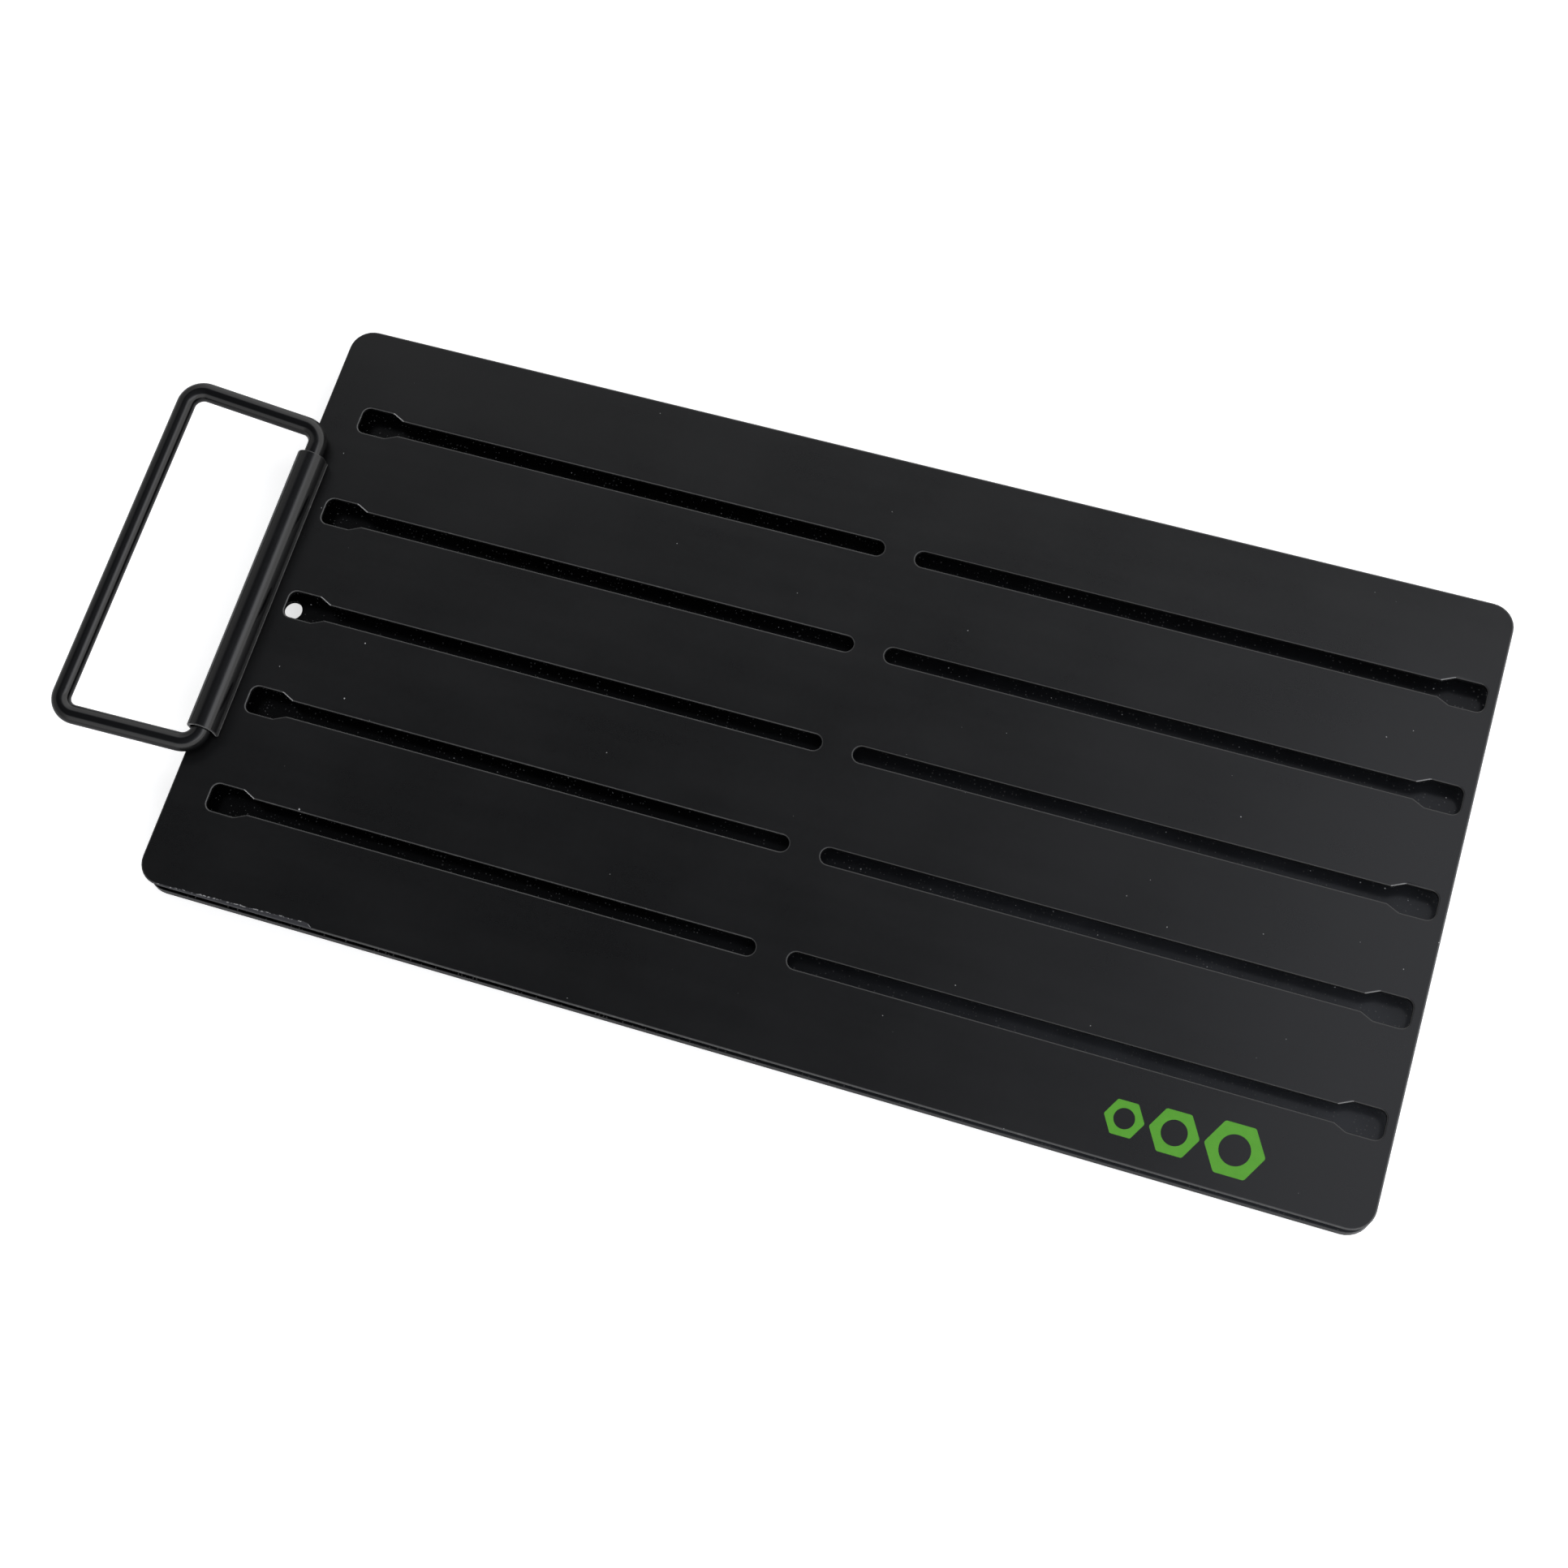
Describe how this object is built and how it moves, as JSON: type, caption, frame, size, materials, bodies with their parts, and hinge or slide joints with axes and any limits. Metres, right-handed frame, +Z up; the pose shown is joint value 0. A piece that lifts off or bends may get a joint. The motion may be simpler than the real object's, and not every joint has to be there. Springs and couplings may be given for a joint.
{
  "type": "socket rail tray",
  "caption": "Flat two-layer steel tray with rows of keyhole slots for sliding socket clips and a swinging wire loop handle at one end.",
  "frame": {"origin": "centre of the whole object's footprint, handle included, on the surface that the rubber feet stand on", "axes": "+X from the handle towards the far end, along the slots; +Y across the slot rows; +Z up, out of the slotted deck"},
  "size_m": [0.4466, 0.2068, 0.0227],
  "materials": {
    "deck_paint": "satin black coating on pressed steel sheet",
    "base_paint": "satin black coating on pressed steel sheet",
    "bracket_paint": "satin black powder coat on curled steel sheet",
    "handle_paint": "smooth satin black powder coat on steel wire",
    "spacer_plastic": "matt black moulded plastic",
    "screw_steel": "dark zinc-plated steel",
    "foot_rubber": "matt black rubber"
  },
  "bodies": {
    "tray": {"top_plate": "deck_paint", "base_plate": "base_paint", "handle_bracket": "bracket_paint", "spacer_bar_1": "spacer_plastic", "spacer_bar_2": "spacer_plastic", "spacer_bar_3": "spacer_plastic", "spacer_bar_4": "spacer_plastic", "spacer_bar_5": "spacer_plastic", "spacer_bar_6": "spacer_plastic", "spacer_screw_1": "screw_steel", "spacer_screw_2": "screw_steel", "spacer_screw_3": "screw_steel", "spacer_screw_4": "screw_steel", "spacer_screw_5": "screw_steel", "spacer_screw_6": "screw_steel", "spacer_screw_7": "screw_steel", "spacer_screw_8": "screw_steel", "spacer_screw_9": "screw_steel", "spacer_screw_10": "screw_steel", "spacer_screw_11": "screw_steel", "spacer_screw_12": "screw_steel", "bracket_screw_1": "screw_steel", "bracket_screw_2": "screw_steel", "bracket_screw_3": "screw_steel", "rubber_foot_1": "foot_rubber", "rubber_foot_2": "foot_rubber", "rubber_foot_3": "foot_rubber", "rubber_foot_4": "foot_rubber"},
    "handle": {"wire_handle": "handle_paint"}
  },
  "joints": [
    {"name": "handle_swing", "type": "hinge", "parent": "tray", "child": "handle", "pos_m": [-0.17257, 0, 0.015], "axis": [0, 1, 0], "range_deg": [-5, 174]}
  ]
}
